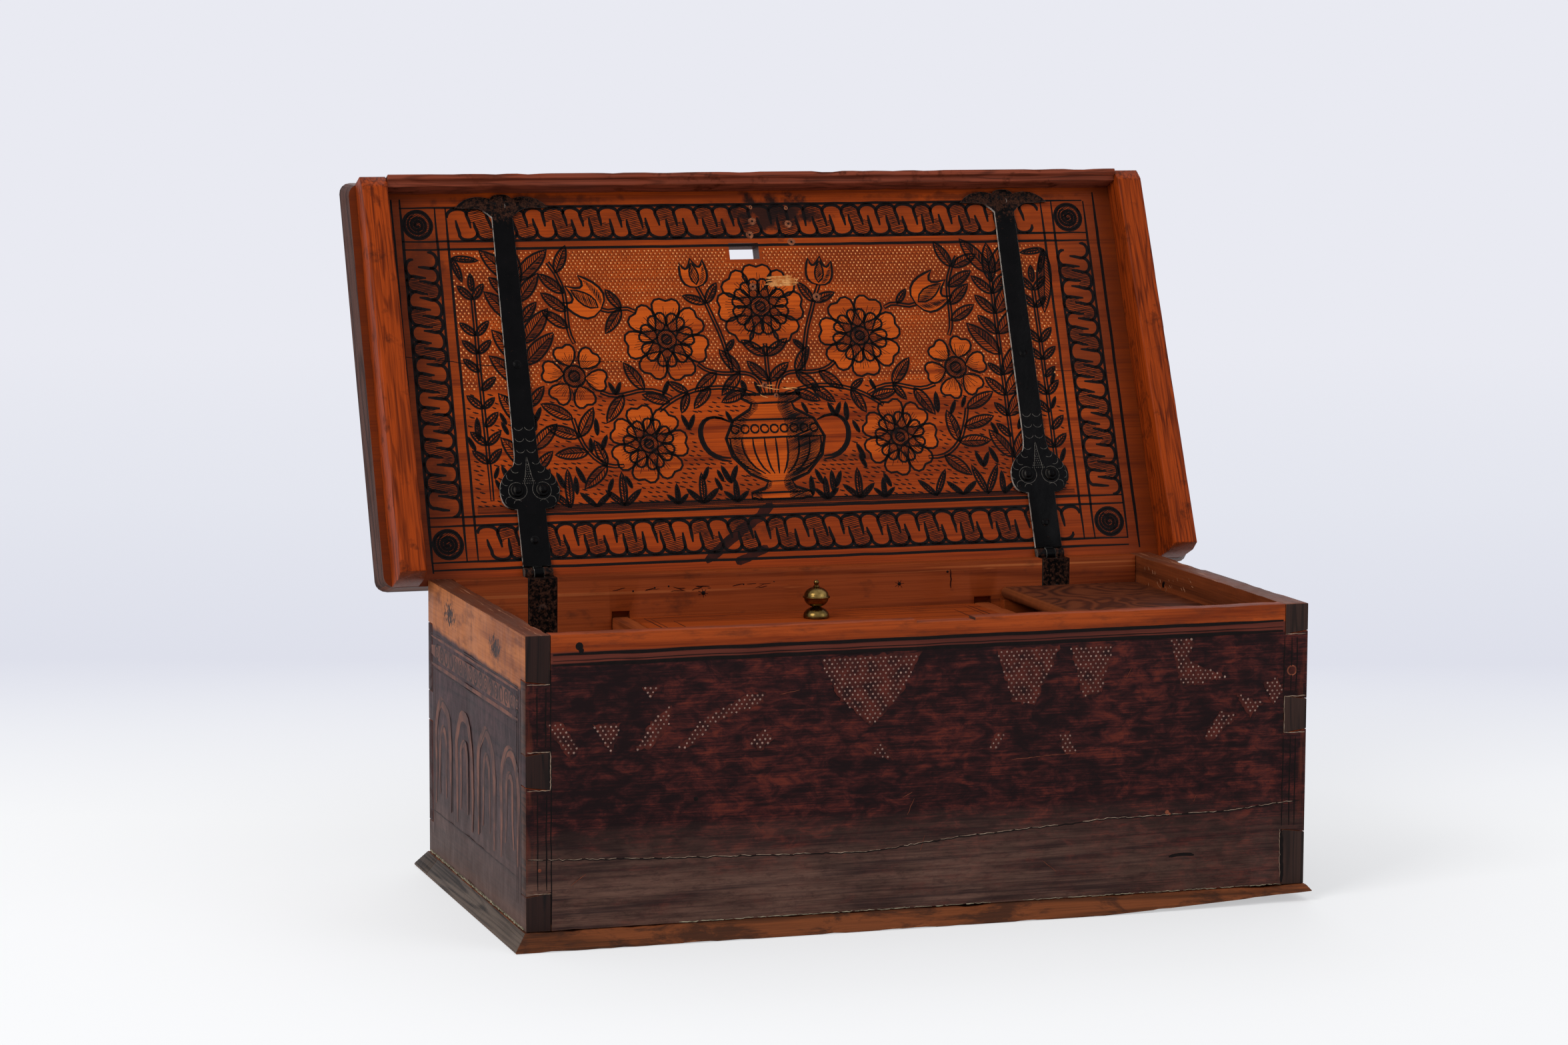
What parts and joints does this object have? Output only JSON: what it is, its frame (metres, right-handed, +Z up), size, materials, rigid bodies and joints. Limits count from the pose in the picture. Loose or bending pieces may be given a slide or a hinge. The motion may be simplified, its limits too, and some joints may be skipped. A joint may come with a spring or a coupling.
{
  "type": "wooden casket",
  "caption": "Dovetailed wooden casket with an open lid on wrought strap hinges, a knobbed inner lid between partitions and a till cover.",
  "frame": {"origin": "centre of the base's underside, on the surface that the casket stands on", "axes": "+X along the front to the viewer's right, +Y from the front to the back, +Z up; the lid is open at its stop"},
  "size_m": [0.5412, 0.3676, 0.426],
  "materials": {
    "dark_stained_wood": "dark red-brown stain, worn",
    "bare_wood": "bare aged softwood",
    "base_wood": "weathered",
    "polished_wood": "orange-brown polish with dark line work",
    "burl_wood": "dark figured wood",
    "black_iron": "blackened wrought iron with rust",
    "old_brass": "dulled brass"
  },
  "bodies": {
    "case": {"base_board": "base_wood", "base_rear_strip": "base_wood", "front_board": "dark_stained_wood", "back_board": "bare_wood", "left_end_board": "dark_stained_wood", "right_end_board": "dark_stained_wood", "left_partition": "bare_wood", "right_partition": "bare_wood", "left_lid_ledger": "bare_wood", "right_lid_ledger": "bare_wood", "till_front_ledger": "bare_wood", "till_back_ledger": "bare_wood", "left_hinge_leaf": "black_iron", "left_hinge_pin": "black_iron", "left_hinge_leaf_nail_upper": "black_iron", "left_hinge_leaf_nail_lower": "black_iron", "right_hinge_leaf": "black_iron", "right_hinge_pin": "black_iron", "right_hinge_leaf_nail_upper": "black_iron", "right_hinge_leaf_nail_lower": "black_iron"},
    "lid": {"lid_board": "polished_wood", "left_batten": "polished_wood", "right_batten": "polished_wood", "front_rail": "polished_wood", "left_strap": "black_iron", "left_strap_nail_low": "black_iron", "left_strap_nail_mid": "black_iron", "left_strap_nail_top": "black_iron", "left_strap_boss_left": "black_iron", "left_strap_boss_right": "black_iron", "right_strap": "black_iron", "right_strap_nail_low": "black_iron", "right_strap_nail_mid": "black_iron", "right_strap_nail_top": "black_iron", "right_strap_boss_left": "black_iron", "right_strap_boss_right": "black_iron"},
    "inner_lid": {"inner_lid_panel": "bare_wood", "knob_rosette": "old_brass", "knob_ball": "old_brass", "knob_pin": "old_brass"},
    "till_lid": {"till_cover": "burl_wood"}
  },
  "joints": [
    {"name": "lid_hinge", "type": "hinge", "parent": "case", "child": "lid", "pos_m": [0, 0.12367, 0.1813], "axis": [-1, 0, 0], "range_deg": [-112.5, 0]},
    {"name": "inner_lid_lift", "type": "slide", "parent": "case", "child": "inner_lid", "axis": [0, 0, 1], "range_m": [0, 0.08]},
    {"name": "till_cover_lift", "type": "slide", "parent": "case", "child": "till_lid", "axis": [0, 0, 1], "range_m": [0, 0.08]}
  ]
}
